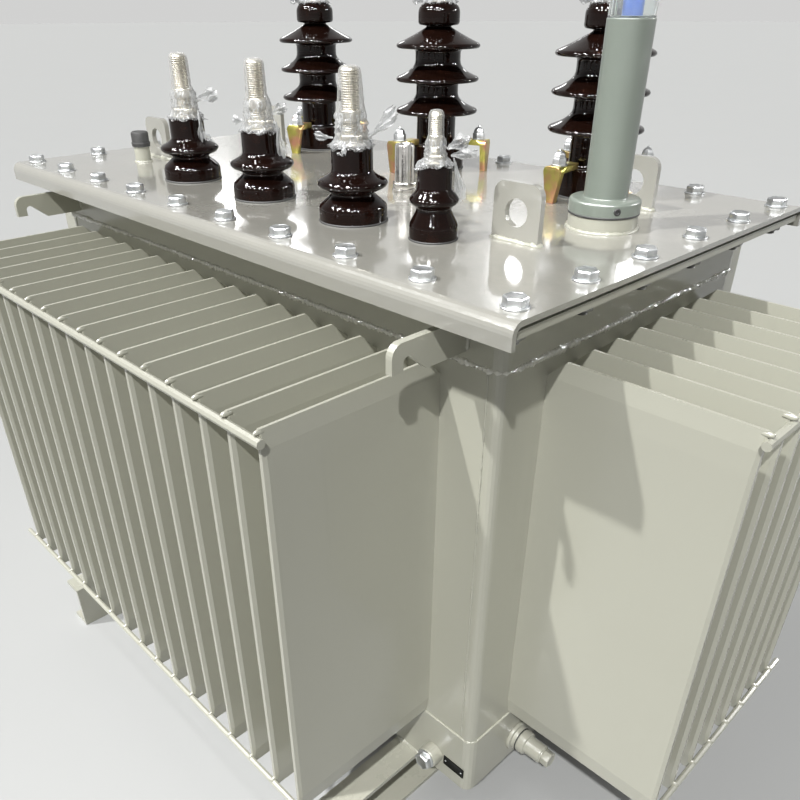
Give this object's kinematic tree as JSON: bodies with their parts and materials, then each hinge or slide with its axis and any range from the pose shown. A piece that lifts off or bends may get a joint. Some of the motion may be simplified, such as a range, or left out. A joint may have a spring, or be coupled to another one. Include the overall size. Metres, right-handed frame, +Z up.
{
  "type": "power transformer",
  "caption": "Sealed oil-filled distribution transformer: corrugated finned tank on skid channels, bolted cover with high- and low-voltage bushings, oil gauge and lifting lugs.",
  "frame": {"origin": "on the floor under the middle of the tank", "axes": "+X along the long side, +Y from the low-voltage side to the high-voltage side, +Z up"},
  "size_m": [1.4564, 0.9944, 1.1292],
  "materials": {
    "enamel": "glossy light greenish-grey enamel",
    "porcelain": "dark brown glazed porcelain, very glossy",
    "tinned_brass": "tinned, satin",
    "galvanised": "galvanised, satin",
    "yellow_zinc": "yellow zinc plating, with bright dome nuts",
    "black_rubber": "matt black rubber",
    "gauge_green": "pale green semi-gloss paint",
    "clear_plastic": "clear sight glass",
    "blue_plastic": "blue indicator rod",
    "bright_steel": "polished steel"
  },
  "bodies": {
    "root": {"skid_right": "enamel", "skid_left": "enamel", "tank_floor": "enamel", "base_skirt": "enamel", "corrugated_wall_front": "enamel", "corrugated_wall_back": "enamel", "corrugated_wall_left": "enamel", "corrugated_wall_right": "enamel", "top_frame": "enamel", "cover_gasket": "black_rubber", "cover": "enamel", "hook_front_right": "enamel", "hook_front_left": "enamel", "hook_back_right": "enamel", "hook_back_left": "enamel", "lifting_lug_front_right": "enamel", "lifting_lug_front_left": "enamel", "lifting_lug_back_right": "enamel", "lifting_lug_back_left": "enamel", "lv_bushing_a": "porcelain", "lv_bushing_b": "porcelain", "lv_bushing_c": "porcelain", "lv_bushing_neutral": "porcelain", "lv_terminal_a": "tinned_brass", "lv_terminal_b": "tinned_brass", "lv_terminal_c": "tinned_brass", "lv_terminal_neutral": "tinned_brass", "hv_bushing_a": "porcelain", "hv_bushing_b": "porcelain", "hv_bushing_c": "porcelain", "hv_terminal_a": "tinned_brass", "hv_terminal_b": "tinned_brass", "hv_terminal_c": "tinned_brass", "hv_clamp_ring_a": "yellow_zinc", "hv_clamp_ring_b": "yellow_zinc", "hv_clamp_ring_c": "yellow_zinc", "gauge_pad": "enamel", "gauge_tube": "gauge_green", "gauge_glass": "clear_plastic", "gauge_indicator": "blue_plastic", "gauge_cap": "gauge_green", "tap_changer": "bright_steel", "filler_stub": "enamel", "filler_cap": "black_rubber", "earthing_boss": "galvanised", "drain_valve": "enamel"}
  },
  "joints": []
}
